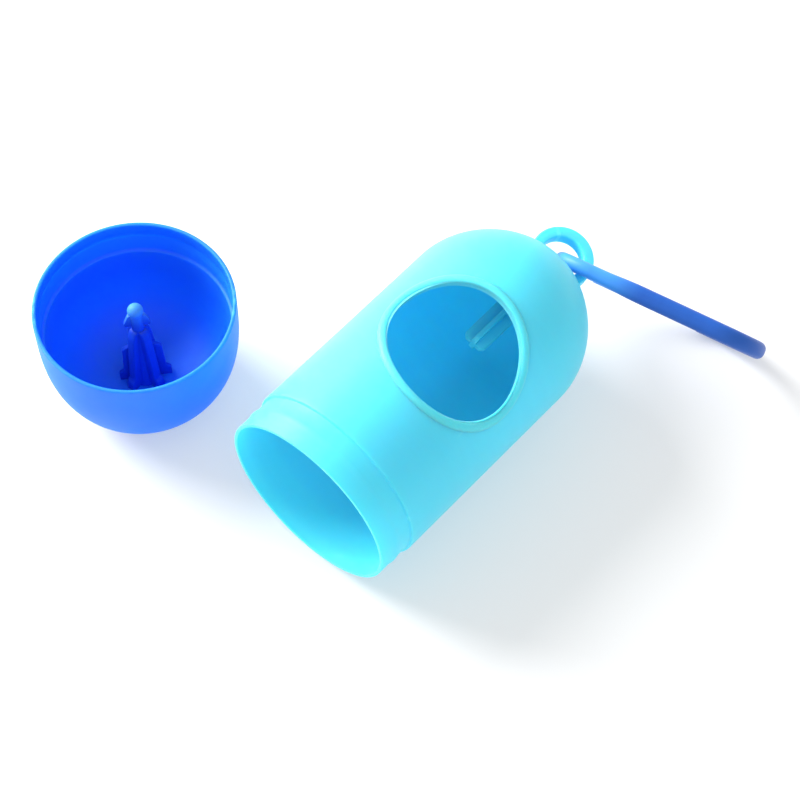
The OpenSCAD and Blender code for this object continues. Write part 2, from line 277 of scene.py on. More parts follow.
def close(piece):
    """Merges doubles, turns the faces outwards and applies the place."""
    edit(piece)
    bpy.ops.mesh.remove_doubles(threshold=MERGE_GAP)
    bpy.ops.mesh.normals_make_consistent(inside=False)
    bpy.ops.object.mode_set(mode="OBJECT")
    bpy.ops.object.transform_apply(location=True, rotation=True, scale=True)


def draw_face(name, outline):
    """Draws a closed outline, fills it and stays in edit mode with the face selected."""
    piece = draw_line(name, outline)
    bpy.ops.mesh.select_all(action="SELECT")
    bpy.ops.mesh.edge_face_add()
    return piece


def plate(name, outline, offset, rounding=0.0):
    """A flat plate: the outline extruded by offset, centred on the outline's plane."""
    piece = draw_face(name, [point - offset / 2 for point in outline])
    push(offset)
    close(piece)
    if rounding:
        round_edges(piece, rounding)
    return piece


def round_edges(piece, width, segments=3):
    """Rounds the sharp edges with an applied Bevel modifier."""
    bevel = piece.modifiers.new("Rounding", "BEVEL")
    bevel.width = width
    bevel.segments = segments
    bevel.limit_method = "ANGLE"
    bevel.angle_limit = ROUNDED_ANGLE
    apply(piece, bevel)


def apply(piece, modifier):
    """Applies one modifier."""
    pick(piece)
    bpy.ops.object.modifier_apply(modifier=modifier.name)


def combine(piece, tool, operation):
    """Adds the tool to the piece, or cuts it away, and removes the tool."""
    boolean = piece.modifiers.new(operation.title(), "BOOLEAN")
    boolean.operation = operation
    boolean.solver = "EXACT"
    boolean.object = tool
    apply(piece, boolean)
    bpy.data.objects.remove(tool)


def place(piece, matrix):
    """Moves a finished piece to its place, into its mesh."""
    pick(piece)
    piece.matrix_world = matrix
    bpy.ops.object.transform_apply(location=True, rotation=True, scale=True)


def finish_piece(piece, body, material, replaces=()):
    """Shades the piece, gives it its material and hangs it on its body."""
    pick(piece)
    bpy.ops.object.shade_smooth_by_angle(angle=SMOOTH_ANGLE)
    piece.data.materials.clear()
    piece.data.materials.append(material)
    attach(piece, body)
    if replaces:
        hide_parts(*replaces)


def arc(centre, radius, start, end, steps):
    """Points (along, out) of an arc from the angle start to end, in degrees."""
    turns = (radians(start + (end - start) * i / steps) for i in range(steps + 1))
    return [(centre[0] + radius * cos(a), centre[1] + radius * sin(a)) for a in turns]


def power_curve(along, out, power, steps):
    """Points (along, out) of a quarter of a superellipse, from (0, out) to (along, 0)."""
    turns = (pi / 2 * i / steps for i in range(steps + 1))
    return [(along * sin(a) ** (2 / power), out * cos(a) ** (2 / power)) for a in turns]


def rounded_section(width, thickness, rounding, steps=6):
    """Points (across, up) of a rectangle with round corners."""
    corners = ((1, 1), (-1, 1), (-1, -1), (1, -1))
    return [(x * (width / 2 - rounding) + rounding * cos(pi / 2 * (corner + i / steps)),
             y * (thickness / 2 - rounding) + rounding * sin(pi / 2 * (corner + i / steps)))
            for corner, (x, y) in enumerate(corners) for i in range(steps + 1)]


# Materials: the scales of the plastic's noises are in features per metre

TURNING_SCALE = 420
FLOW_SCALE = 70
RUBBED_SCALE = 160
GRAIN_SCALE = 5200
UNEVEN_SCALE = 120
STREAK_SCALE = 2400
# pointiness range over which the painted edge highlight comes in
FLAT_POINTINESS, ROUND_POINTINESS = 0.51, 0.62
LIGHT_REACH = (0.15, 0.8, 1.0)
SPECULAR_LEVEL = 0.28
BUMP_STRENGTH = 0.25
BUMP_DISTANCE = 0.12 * MM


def preset(node, **values):
    """Sets the node's own values, named as its sockets are but with _ for a space."""
    for name, value in values.items():
        node.inputs[name.replace("_", " ")].default_value = value


def group_input(group, kind, name, default):
    """Adds an input socket with its default."""
    socket = group.interface.new_socket(name=name, in_out="INPUT", socket_type=kind)
    socket.default_value = default


def moulded_finish():
    """The node group for moulded plastic: flow clouds, painted highlights on thin and rounded
    edges and a fine satin grain.
    """
    group = bpy.data.node_groups.new("Moulded finish", "ShaderNodeTree")
    group_input(group, "NodeSocketColor", "Colour", (0.5, 0.5, 0.5, 1))
    group_input(group, "NodeSocketColor", "Edge Colour", (1, 1, 1, 1))
    group_input(group, "NodeSocketFloat", "Edge Amount", 0.5)
    group_input(group, "NodeSocketFloat", "Cloud Amount", 0.1)
    group_input(group, "NodeSocketFloat", "Roughness", 0.35)
    group_input(group, "NodeSocketFloat", "Along", 0.0)
    for kind, name in (("Color", "Colour"), ("Float", "Roughness"), ("Float", "Height")):
        group.interface.new_socket(name=name, in_out="OUTPUT", socket_type="NodeSocket" + kind)
    nodes, link = group.nodes, group.links.new
    given = nodes.new("NodeGroupInput")
    result = nodes.new("NodeGroupOutput")
    coordinates = nodes.new("ShaderNodeTexCoord")

    def noise(scale, detail):
        node = nodes.new("ShaderNodeTexNoise")
        preset(node, Scale=scale, Detail=detail)
        link(coordinates.outputs["Object"], node.inputs["Vector"])
        return node.outputs["Fac"]

    def maths(operation, first, second):
        node = nodes.new("ShaderNodeMath")
        node.operation = operation
        for socket, value in zip(node.inputs, (first, second)):
            if isinstance(value, (int, float)):
                socket.default_value = value
            else:
                link(value, socket)
        return node.outputs[0]

    # turning marks of the mould: they change along the piece only
    turning = nodes.new("ShaderNodeTexNoise")
    turning.noise_dimensions = "1D"
    preset(turning, Scale=TURNING_SCALE, Detail=3)
    link(given.outputs["Along"], turning.inputs["W"])
    marks = maths("SUBTRACT", turning.outputs["Fac"], 0.5)

    # slow clouds in the colour, as melt leaves them where it flowed
    slow = maths("SUBTRACT", noise(FLOW_SCALE, 3), 0.5)
    flow = maths("ADD", slow, maths("MULTIPLY", marks, 0.6))
    clouds = maths("MULTIPLY", flow, given.outputs["Cloud Amount"])
    shaded = nodes.new("ShaderNodeHueSaturation")
    link(given.outputs["Colour"], shaded.inputs["Color"])
    link(maths("ADD", clouds, 1.0), shaded.inputs["Value"])

    # painted highlight: thin and rounded edges are mixed towards a lighter colour by pointiness,
    # standing in for edge highlights and light shining through them
    shape = nodes.new("ShaderNodeNewGeometry")
    ramp = nodes.new("ShaderNodeMapRange")
    preset(ramp, From_Min=FLAT_POINTINESS, From_Max=ROUND_POINTINESS)
    link(shape.outputs["Pointiness"], ramp.inputs["Value"])
    edges = maths("MULTIPLY", ramp.outputs["Result"], given.outputs["Edge Amount"])
    mix = nodes.new("ShaderNodeMix")
    mix.data_type = "RGBA"
    link(edges, mix.inputs["Factor"])
    link(shaded.outputs["Color"], mix.inputs["A"])
    link(given.outputs["Edge Colour"], mix.inputs["B"])
    link(mix.outputs["Result"], result.inputs["Colour"])

    # handling rubs the satin unevenly
    rubbed = maths("MULTIPLY", maths("SUBTRACT", noise(RUBBED_SCALE, 4), 0.5), 0.16)
    link(maths("ADD", given.outputs["Roughness"], rubbed), result.inputs["Roughness"])

    # satin grain of the mould, with a slow unevenness below it
    grain = maths("MULTIPLY", noise(GRAIN_SCALE, 2), 0.12)
    uneven = maths("ADD", noise(UNEVEN_SCALE, 1), maths("MULTIPLY", marks, 0.25))
    link(maths("ADD", grain, uneven), result.inputs["Height"])
    return group


def plastic(name, base, edge, way, cloud, edge_light_amount, roughness, glow, depth):
    """Satin moulded plastic, a little translucent, with turning marks across its way and painted
    highlights on its edges.
    """
    material = bpy.data.materials.new(name)
    material.use_nodes = True
    nodes, link = material.node_tree.nodes, material.node_tree.links.new
    shader = nodes["Principled BSDF"]
    finish = nodes.new("ShaderNodeGroup")
    finish.node_tree = bpy.data.node_groups.get("Moulded finish") or moulded_finish()
    preset(finish, Colour=base, Edge_Colour=edge, Edge_Amount=edge_light_amount, Cloud_Amount=cloud,
           Roughness=roughness)
    coordinates = nodes.new("ShaderNodeTexCoord")
    along = nodes.new("ShaderNodeVectorMath")
    along.operation = "DOT_PRODUCT"
    along.inputs[1].default_value = way
    link(coordinates.outputs["Object"], along.inputs[0])
    link(along.outputs["Value"], finish.inputs["Along"])
    bump = nodes.new("ShaderNodeBump")
    preset(bump, Strength=BUMP_STRENGTH, Distance=BUMP_DISTANCE)
    link(finish.outputs["Colour"], shader.inputs["Base Color"])
    link(finish.outputs["Roughness"], shader.inputs["Roughness"])
    link(finish.outputs["Height"], bump.inputs["Height"])
    link(bump.outputs["Normal"], shader.inputs["Normal"])
    preset(shader, Subsurface_Weight=glow, Subsurface_Radius=LIGHT_REACH,
           Subsurface_Scale=depth, Specular_IOR_Level=SPECULAR_LEVEL)
    material.diffuse_color = base
    return material


def paint_light_fade(material, first, last, start, end):
    """Paints light along the plastic: changes it from its first colour to its last, from start to
    end along its way.
    """
    nodes, link = material.node_tree.nodes, material.node_tree.links.new
    share = nodes.new("ShaderNodeMapRange")
    share.interpolation_type = "SMOOTHSTEP"
    preset(share, From_Min=start, From_Max=end)
    mix = nodes.new("ShaderNodeMix")
    mix.data_type = "RGBA"
    preset(mix, A=first, B=last)
    link(nodes["Vector Math"].outputs["Value"], share.inputs["Value"])
    link(share.outputs["Result"], mix.inputs["Factor"])
    link(mix.outputs["Result"], nodes["Group"].inputs["Colour"])


def barrel_plastic():
    """The barrel's light aqua, made once."""
    made = bpy.data.materials.get("Aqua plastic")
    barrel = settings().barrel
    return made or plastic("Aqua plastic", barrel.plastic, barrel.edge, (1, 0, 0), cloud=0.05,
                           edge_light_amount=0.35, roughness=0.45, glow=0.8, depth=3.0 * MM)


def cap_plastic():
    """The cap's deep blue, made once."""
    made = bpy.data.materials.get("Deep blue plastic")
    cap = settings().cap
    return made or plastic("Deep blue plastic", cap.plastic, cap.edge, (0, 0, 1), cloud=0.10,
                           edge_light_amount=0.5, roughness=0.52, glow=0.75, depth=2.6 * MM)


def spindle_plastic_with_painted_light():
    """The spindle's blue, painted darker than the cap's as shade from the cap's bowl, letting
    little light through, with a painted highlight over the ball.
    """
    spindle = settings().spindle
    material = plastic("Spindle plastic, painted shade and highlight", spindle.plastic, spindle.edge, (0, 0, 1), cloud=0.10,
                       edge_light_amount=0.06, roughness=0.55, glow=0.12, depth=0.6 * MM)
    # painted highlight: the colour lightens from the ribs' top to the ball's top
    paint_light_fade(material, spindle.plastic, spindle.edge, spindle.rib_top, SPINDLE_HIGH.z)
    return material


def clip_plastic():
    """The clip's mid blue with painted light at its narrow end, made once."""
    made = bpy.data.materials.get("Mid blue plastic")
    clip = settings().clip
    if made:
        return made
    plan = ClipPlan()
    way = plan.place().to_3x3() @ Vector((1, 0, 0))
    material = plastic("Mid blue plastic", clip.plastic, clip.edge, way, cloud=0.12,
                       edge_light_amount=0.3, roughness=0.42, glow=0.1, depth=0.5 * MM)
    # painted light: the plastic is painted paler towards the thinner end, standing in for the
    # highlight and light shining through there
    start = plan.place().translation.dot(way)
    first, last = (start + clip.length * share for share in (0.02, 0.23))
    paint_light_fade(material, clip.pale, clip.plastic, first, last)
    return material


def drawn_steel():
    """Plain drawn wire, finely streaked."""
    material = bpy.data.materials.new("Drawn steel")
    material.use_nodes = True
    nodes, link = material.node_tree.nodes, material.node_tree.links.new
    shader = nodes["Principled BSDF"]
    coordinates = nodes.new("ShaderNodeTexCoord")
    streaks = nodes.new("ShaderNodeTexNoise")
    preset(streaks, Scale=STREAK_SCALE, Detail=3)
    rough = nodes.new("ShaderNodeMapRange")
    preset(rough, To_Min=0.22, To_Max=0.42)
    tint = nodes.new("ShaderNodeValToRGB")
    tint.color_ramp.elements[0].color = (0.48, 0.49, 0.51, 1)
    tint.color_ramp.elements[1].color = (0.66, 0.67, 0.69, 1)
    link(coordinates.outputs["Object"], streaks.inputs["Vector"])
    link(streaks.outputs["Fac"], rough.inputs["Value"])
    link(streaks.outputs["Fac"], tint.inputs["Fac"])
    link(tint.outputs["Color"], shader.inputs["Base Color"])
    link(rough.outputs["Result"], shader.inputs["Roughness"])
    preset(shader, Metallic=1.0)
    return material


# The barrel: modelled with its mouth at the origin, its axis on +X and its window up

WINDOW_STEPS, BEAD_STEPS, EYE_STEPS = 120, 160, 144
WINDOW_ROOM = 0.03 * MM
BEAD_SOFTNESS = 0.2 * MM


def barrel_place():
    """From the barrel's own frame to where it lies."""
    barrel = settings().barrel
    mouth = Vector((BARREL_LOW.x, (BARREL_LOW.y + BARREL_HIGH.y) / 2, barrel.body_radius))
    return Matrix.Translation(mouth) @ Matrix.Rotation(barrel.window_turn, 4, "X")


def barrel_length():
    """From the mouth to the top of the dome."""
    barrel = settings().barrel
    return BARREL_HIGH.x - BARREL_LOW.x - barrel.eye_out - barrel.eye_radius


def window_edge(steps, grow):
    """Points (along, across) of the window's outline, seen square to it."""
    barrel = settings().barrel
    exponent = 2 / barrel.window_power
    points = []
    for i in range(steps):
        c, s = cos(tau * i / steps), sin(tau * i / steps)
        along = (barrel.window_length / 2 + grow) * abs(c) ** exponent
        across = (barrel.window_width / 2 + grow) * abs(s) ** exponent
        across = across if s > 0 else -across
        along = along if c > 0 else -along
        points.append((barrel.window_place + along + barrel.window_lean * across, across))
    return points


def clear_of_window(point, softness):
    """The point moved out of the window, so that what it is on ends in a wall along the edge."""
    barrel = settings().barrel
    across = point.y
    along = point.x - barrel.window_place - barrel.window_lean * across
    power = barrel.window_power
    share = ((2 * abs(along) / barrel.window_length) ** power
             + (2 * abs(across) / barrel.window_width) ** power) ** (1 / power)
    reach = sqrt(along ** 2 + across ** 2)
    inside = reach / share - reach
    kept = (inside - sqrt(inside ** 2 + softness ** 2)) / 2
    scale = (reach / share - kept) / reach
    across *= scale
    moved = barrel.window_place + along * scale + barrel.window_lean * across
    return Vector((moved, across, point.z))


def body_profile():
    """The barrel's skin, (along, out), from the inner pole round the lip to the outer pole."""
    barrel = settings().barrel
    lip, lead, flare = 0.2 * MM, 3.0 * MM, 0.3 * MM
    shoulder = 0.28 * MM
    snap_foot, snap_flat = 1.2 * MM, 0.25 * MM
    bore = barrel.neck_radius - barrel.neck_wall
    dome_start = barrel_length() - barrel.dome_height
    steps_along = 14
    inner = power_curve(barrel.dome_height - barrel.wall, bore, barrel.dome_power, 36)
    profile = [(dome_start + along, out) for along, out in reversed(inner)]
    profile += [(dome_start * i / steps_along, bore) for i in range(steps_along - 1, 0, -1)]
    # lead-in at the mouth, then the lip
    profile += [(lead, bore), (lead * 0.6, bore + flare * 0.35), (lip * 2, bore + flare)]
    profile += arc((lip * 0.75, bore + flare + lip * 0.75), lip * 0.75, 270, 180, 3)
    profile += arc((lip, barrel.neck_radius - lip), lip, 180, 90, 5)
    # low snap bead
    neck, snap = barrel.neck_radius, barrel.snap_place
    flank = neck + barrel.snap_height * 0.65
    profile += [(snap - snap_foot, neck), (snap - snap_flat * 2, flank),
                (snap, neck + barrel.snap_height), (snap + snap_flat * 2, flank),
                (snap + snap_foot, neck)]
    # shoulder: a small hollow, then a round edge
    step = barrel.neck_length
    profile += arc((step - shoulder, neck + shoulder), shoulder, 270, 360, 4)
    profile += arc((step + shoulder, barrel.body_radius - shoulder), shoulder, 180, 90, 4)
    profile += [(step + 1.0 * MM, barrel.body_radius)]
    run = dome_start - step
    profile += [(step + run * i / steps_along, barrel.body_radius) for i in range(1, steps_along)]
    outer = power_curve(barrel.dome_height, barrel.body_radius, barrel.dome_power, 40)
    profile += [(dome_start + along, out) for along, out in outer]
    return profile


class DISPENSER_OT_barrel_shell(bpy.types.Operator):
    """Lathe the barrel's double skin and cut the window"""
    bl_idname = "dispenser.barrel_shell"
    bl_label = "Barrel Shell"

    def execute(self, context):
        barrel = settings().barrel
        profile = [Vector((along, 0, out)) for along, out in body_profile()]
        shell = lathe("barrel_shell", profile, (1, 0, 0), barrel.segments)
        outline = [Vector((along, across, 0))
                   for along, across in window_edge(WINDOW_STEPS, WINDOW_ROOM)]
        cutter = draw_face("window_cutter", outline)
        push(Vector((0, 0, barrel.body_radius * 1.2)))
        close(cutter)
        combine(shell, cutter, "DIFFERENCE")
        place(shell, barrel_place())
        finish_piece(shell, "barrel", barrel_plastic(), ["barrel"])
        return {"FINISHED"}


class DISPENSER_OT_window_bead(bpy.types.Operator):
    """Sweep the rolled bead round the window"""
    bl_idname = "dispenser.window_bead"
    bl_label = "Window Bead"

    def execute(self, context):
        barrel = settings().barrel
        radius = barrel.body_radius - barrel.bead_sink
        path = bpy.data.curves.new("window_bead", "CURVE")
        path.dimensions = "3D"
        path.bevel_depth = barrel.bead_radius
        path.bevel_resolution = 8
        spline = path.splines.new("POLY")
        spline.points.add(BEAD_STEPS - 1)
        spline.use_cyclic_u = True
        edge = window_edge(BEAD_STEPS, barrel.bead_seat)
        for point, (along, across) in zip(spline.points, edge):
            point.co = (along, across, sqrt(radius ** 2 - across ** 2), 1)
        bead = bpy.data.objects.new("window_bead", path)
        context.collection.objects.link(bead)
        pick(bead)
        bpy.ops.object.convert(target="MESH")
        bead = context.object
        bead.name = bead.data.name = "window_bead"
        close(bead)
        for vertex in bead.data.vertices:
            vertex.co = clear_of_window(vertex.co, BEAD_SOFTNESS)
        place(bead, barrel_place())
        finish_piece(bead, "barrel", barrel_plastic())
        return {"FINISHED"}


def height_over_dome(point):
    """How far a point of the barrel's frame is from the dome's skin, outwards."""
    barrel = settings().barrel
    along = max(point.x - (barrel_length() - barrel.dome_height), 0.0)
    out = Vector((point.y, point.z)).length
    power = barrel.dome_power
    reach = (along / barrel.dome_height) ** power + (out / barrel.body_radius) ** power
    return (1 - reach ** (-1 / power)) * Vector((along, out)).length


class DISPENSER_OT_eye(bpy.types.Operator):
    """Lathe the eye on the dome and flare its legs into the dome"""
    bl_idname = "dispenser.eye"
    bl_label = "Eye"

    def execute(self, context):
        barrel = settings().barrel
        middle = (barrel.eye_radius + barrel.eye_hole) / 2
        section = rounded_section(barrel.eye_radius - barrel.eye_hole, barrel.eye_thickness,
                                  barrel.eye_round)
        profile = [Vector((middle + across, 0, up)) for across, up in section]
        eye = lathe("eye", profile + profile[:1], (0, 0, 1), EYE_STEPS)
        centre = Vector((barrel_length() + barrel.eye_out, 0, 0))
        place(eye, Matrix.Translation(centre))
        fillet = barrel.eye_fillet
        for vertex in eye.data.vertices:
            spoke = Vector((vertex.co.x - centre.x, vertex.co.y, 0)).normalized()
            outwards = vertex.co - (centre + spoke * middle)
            height = min(max(height_over_dome(vertex.co), 0.0), fillet)
            flare = fillet - sqrt(fillet ** 2 - (fillet - height) ** 2)
            vertex.co += outwards.normalized() * flare
        place(eye, barrel_place())
        finish_piece(eye, "barrel", barrel_plastic())
        return {"FINISHED"}


class DISPENSER_OT_roll_post(bpy.types.Operator):
    """Make the cross-ribbed post that holds the roll, inside the dome"""
    bl_idname = "dispenser.roll_post"
    bl_label = "Roll Post"

    def execute(self, context):
        barrel = settings().barrel
        root = barrel_length() - barrel.wall * 0.6
        tip = barrel_length() - barrel.wall - barrel.post_length
        taper, corner, step, rounding = 6 * MM, 0.8 * MM, 0.5 * MM, 0.22 * MM
        side = [(tip, barrel.post_tip - corner), (tip + corner, barrel.post_tip),
                (root - taper, barrel.post_root - step), (root, barrel.post_root)]
        side += [(along, -out) for along, out in reversed(side)]
        ribs = []
        for name, up in (("roll_post", Vector((0, 0, 1))), ("cross_rib", Vector((0, 1, 0)))):
            across = up.cross(Vector((1, 0, 0)))
            outline = [Vector((along, 0, 0)) + across * out for along, out in side]
            ribs.append(plate(name, outline, up * barrel.post_rib, rounding))
        post, cross_rib = ribs
        combine(post, cross_rib, "UNION")
        place(post, barrel_place())
        finish_piece(post, "barrel", barrel_plastic())
        return {"FINISHED"}


# The cap and its spindle: modelled where they stand

def bowl_curve(radius, height, foot, power, steps):
    """Points (out, up) of a rounded bowl from its flat bottom to its top."""
    start = asin((foot / radius) ** (power / 2))
    depth = height / cos(start) ** (2 / power)
    turns = [start + (pi / 2 - start) * i / steps for i in range(steps + 1)]
    return [(radius * sin(a) ** (2 / power), height - depth * cos(a) ** (2 / power))
            for a in turns[:-1]] + [(radius, height)]


def cap_profile():
    """The cap's skin, (out, up), from under the foot round the rim to the inner floor."""
    cap, barrel = settings().cap, settings().barrel
    rim = 0.3 * MM
    ease = 0.15 * MM
    snap_foot, snap_flat = 0.75 * MM, 0.25 * MM
    socket = barrel.neck_radius + cap.socket_gap
    ledge = cap.height - barrel.neck_length - 0.2 * MM
    groove = cap.height - barrel.neck_length + barrel.snap_place
    top = cap.height
    profile = [(0, 0), (cap.foot * 0.5, 0), (cap.foot - 0.3 * MM, 0)]
    profile += bowl_curve(cap.radius, top - cap.band, cap.foot, cap.power, 44)
    profile += [(cap.radius, top - cap.band / 2), (cap.radius, top - 2 * rim)]
    profile += [(cap.radius - rim + out, top - rim + up) for out, up in arc((0, 0), rim, 0, 90, 5)]
    profile += [(socket + rim + out, top - rim + up) for out, up in arc((0, 0), rim, 90, 180, 4)]
    # socket with the groove for the snap bead
    deep = barrel.snap_height
    profile += [(socket, top - 2 * rim), (socket, groove + snap_foot),
                (socket + deep, groove + snap_flat), (socket + deep, groove - snap_flat),
                (socket, groove - snap_foot), (socket, ledge + 5 * ease)]
    # ledge that the neck stops at
    inner = cap.radius - cap.wall
    profile += [(socket - 0.5 * ease, ledge + 2.5 * ease), (socket - 1.4 * ease, ledge + ease),
                (socket - 2.4 * ease, ledge + 0.3 * ease),
                (inner + 1.2 * ease, ledge - 0.3 * ease), (inner + 0.4 * ease, ledge - ease)]
    bowl = bowl_curve(inner, ledge - 3 * ease - cap.floor, cap.foot, cap.power, 44)
    profile += [(out, up + cap.floor) for out, up in reversed(bowl)]
    profile += [(cap.foot * 0.5, cap.floor), (0, cap.floor)]
    return profile


class DISPENSER_OT_cap_shell(bpy.types.Operator):
    """Lathe the cap"""
    bl_idname = "dispenser.cap_shell"
    bl_label = "Cap Shell"

    def execute(self, context):
        profile = [Vector((out, 0, up)) for out, up in cap_profile()]
        cap = lathe("cap_shell", profile, (0, 0, 1), settings().cap.segments)
        finish_piece(cap, "cap", cap_plastic(), ["cap"])
        return {"FINISHED"}


def web(name, side, thickness, heading, rounding):
    """A plate through the vertical axis, drawn as (out, up) on one side and mirrored."""
    out_way = Vector((cos(heading), sin(heading), 0))
    up_way = Vector((0, 0, 1))
    whole = side + [(-out, up) for out, up in reversed(side)]
    outline = [out_way * out * MM + up_way * up * MM for out, up in whole]
    return plate(name, outline, out_way.cross(up_way) * thickness, rounding)


class DISPENSER_OT_spindle(bpy.types.Operator):
    """Make the ribbed spindle with its ball"""
    bl_idname = "dispenser.spindle"
    bl_label = "Spindle"

    def execute(self, context):
        spindle = settings().spindle
        # each side is drawn as (out, up) in millimetres, and sinks a little into the cap's floor
        sunk, round_rib, round_fin, lathe_steps = 0.4 * MM, 0.28 * MM, 0.15 * MM, 48
        root = (SPINDLE_LOW.z - sunk) / MM
        top = spindle.rib_top / MM
        ball = spindle.ball_radius / MM
        ball_up = SPINDLE_HIGH.z / MM - ball
        fin, fin_foot = spindle.fin_reach / MM, spindle.fin_foot / MM
        lobe = spindle.lobe_reach / MM
        foot, foot_top = spindle.foot_reach / MM, spindle.foot_top / MM
        rib_side = [(foot, root), (foot - 0.1, foot_top - 0.5), (foot - 0.5, foot_top),
                    (3.65, foot_top + 0.3), (3, 12), (2.5, 17), (2.0, top - 0.6), (1.5, top)]
        fin_side = [(fin_foot, root), (fin_foot, 3.7), (fin_foot - 0.6, 4.3), (fin, 4.7),
                    (fin - 0.3, 11.9), (fin - 0.9, 12.6), (1, 14.2)]
        lobe_side = [(0.9, 20.4), (lobe - 0.2, 20.6), (lobe, 21.3), (lobe - 1, 23.9)]
        parts = [web(f"rib_{i}", rib_side, spindle.rib_thickness, spindle.heading + pi / 2 * i,
                     round_rib) for i in range(2)]
        for name, side in (("fins", fin_side), ("lobes", lobe_side)):
            parts.append(web(name, side, spindle.fin_thickness, spindle.fin_heading, round_fin))
        stem = [(0, root), (2.9, root), (2.2, 3.6), (1.3, top), (1.2, ball_up), (0, ball_up)]
        ball_side = [(ball * cos(a), ball_up + ball * sin(a))
                     for a in (radians(-90 + 7.5 * i) for i in range(25))]
        for name, side in (("stem", stem), ("ball", ball_side)):
            profile = [Vector((out, 0, up)) * MM for out, up in side]
            parts.append(lathe(name, profile, (0, 0, 1), lathe_steps))
        piece = parts.pop(0)
        for part in parts:
            combine(piece, part, "UNION")
        piece.name = piece.data.name = "spindle_stem"
        finish_piece(piece, "cap", spindle_plastic_with_painted_light(), ["spindle"])
        return {"FINISHED"}


# The clip: modelled flat, with its narrow end at the origin, its wide end on +X, its gate on +Y

class ClipPlan:
    """Lengths and angles that follow from the clip's settings."""

    def __init__(self):
        clip = settings().clip
        self.span = clip.length - clip.near_radius - clip.far_radius
        self.near = clip.near_radius - clip.bar_width / 2
        self.far = clip.far_radius - clip.bar_width / 2
        self.side_turn = asin((self.far - self.near) / self.span)
        self.side_length = self.span * cos(self.side_turn)
        self.nose = 2.1 * MM
        self.tongue = 4.0 * MM
        self.tongue_low, self.tongue_high = -0.4 * MM, 1.2 * MM
        self.tongue_gap = 0.3 * MM
        self.pivot_back = 2.6 * MM
        self.pivot = self.side_length - self.pivot_back
        self.root = self.pivot + 2.1 * MM
        self.hinge_radius = 1.55 * MM
        self.hinge_thickness = 1.9 * MM
        self.tongue_thickness = 1.3 * MM
        self.side_gap = 0.1 * MM

    def gate_side(self):
        """From the gate side's frame, +X from the narrow end, to the clip's."""
        return Matrix.Rotation(self.side_turn, 4, "Z") @ Matrix.Translation((0, self.near, 0))

    def place(self):
        """From the clip's frame to where it lies, by the gate's hinge."""
        clip = settings().clip
        turned = (Matrix.Rotation(clip.yaw, 4, "Z") @ Matrix.Rotation(clip.tilt, 4, "X")
                  @ Matrix.Rotation(clip.slope, 4, "Z"))
        pivot = self.gate_side() @ Vector((self.pivot, 0, 0))
        hinge = Vector(JOINTS["gate_swing"]["pos_m"])
        return Matrix.Translation(hinge - turned.to_3x3() @ pivot) @ turned


def box_plate(name, x0, x1, y0, y1, thickness, rounding=0.0):
    """A flat block about the clip's plane."""
    outline = [Vector(corner) for corner in ((x0, y0, 0), (x1, y0, 0), (x1, y1, 0), (x0, y1, 0))]
    return plate(name, outline, Vector((0, 0, thickness)), rounding)


def disc(name, x, radius, thickness, steps=48):
    """A flat disc about the clip's plane."""
    outline = [Vector((x + radius * cos(tau * i / steps), radius * sin(tau * i / steps), 0))
               for i in range(steps)]
    return plate(name, outline, Vector((0, 0, thickness)))


def run_straight(offset, steps):
    """Extrudes the selected end face in equal steps."""
    for _ in range(steps):
        push(offset / steps)


class DISPENSER_OT_clip_ring(bpy.types.Operator):
    """Sweep the clip's bar round its ring, with its nose and its hinge tongue"""
    bl_idname = "dispenser.clip_ring"
    bl_label = "Clip Ring"

    def execute(self, context):
        clip, plan = settings().clip, ClipPlan()
        gate_side = plan.gate_side()
        way = gate_side.to_3x3() @ Vector((1, 0, 0))
        corner, rounding = 1.5 * MM, 0.3 * MM
        slim_end, slope_length = 1 * MM, 9 * MM
        section = rounded_section(clip.bar_width, clip.bar_thickness, corner)
        start = [gate_side @ Vector((plan.nose, across, up)) for across, up in section]
        ring = draw_face("clip_ring", start)
        arc_steps, bar_steps = 56, 24
        run_straight(-way * plan.nose, 2)
        bpy.ops.mesh.spin(steps=arc_steps, angle=2 * plan.side_turn - pi, center=(0, 0, 0),
                          axis=(0, 0, 1))
        back = Vector((cos(plan.side_turn), -sin(plan.side_turn), 0))
        run_straight(back * plan.side_length, bar_steps)
        bpy.ops.mesh.spin(steps=arc_steps, angle=-pi - 2 * plan.side_turn,
                          center=(plan.span, 0, 0), axis=(0, 0, 1))
        run_straight(-way * (plan.side_length - plan.root), 2)
        close(ring)
        # the bar is nearly round at the narrow end and thickens towards the wide one
        slim = clip.near_thickness / clip.bar_thickness
        for vertex in ring.data.vertices:
            share = min(max((vertex.co.x - slim_end) / slope_length, 0.0), 1.0)
            share = share * share * (3 - 2 * share)
            vertex.co.z *= slim + (1 - slim) * share
        round_edges(ring, rounding)
        tongue = box_plate("nose_tongue", plan.nose - 1.6 * MM, plan.tongue, plan.tongue_low,
                           plan.tongue_high, plan.tongue_thickness, 0.12 * MM)
        half_root = plan.hinge_radius * 0.97
        hinge = box_plate("hinge_root", plan.pivot, plan.pivot + plan.pivot_back, -half_root,
                          half_root, plan.hinge_thickness)
        # a hair thinner than the root, so that no two faces of the union lie in one plane
        end = disc("hinge_end", plan.pivot, plan.hinge_radius, plan.hinge_thickness * 0.99)
        hole = disc("pin_hole", plan.pivot, clip.pin_radius, clip.bar_thickness * 2)
        combine(hinge, end, "UNION")
        combine(hinge, hole, "DIFFERENCE")
        for part in (tongue, hinge):
            place(part, gate_side)
            combine(ring, part, "UNION")
        place(ring, plan.place())
        finish_piece(ring, "clip", clip_plastic(), ["clip_frame"])
        return {"FINISHED"}


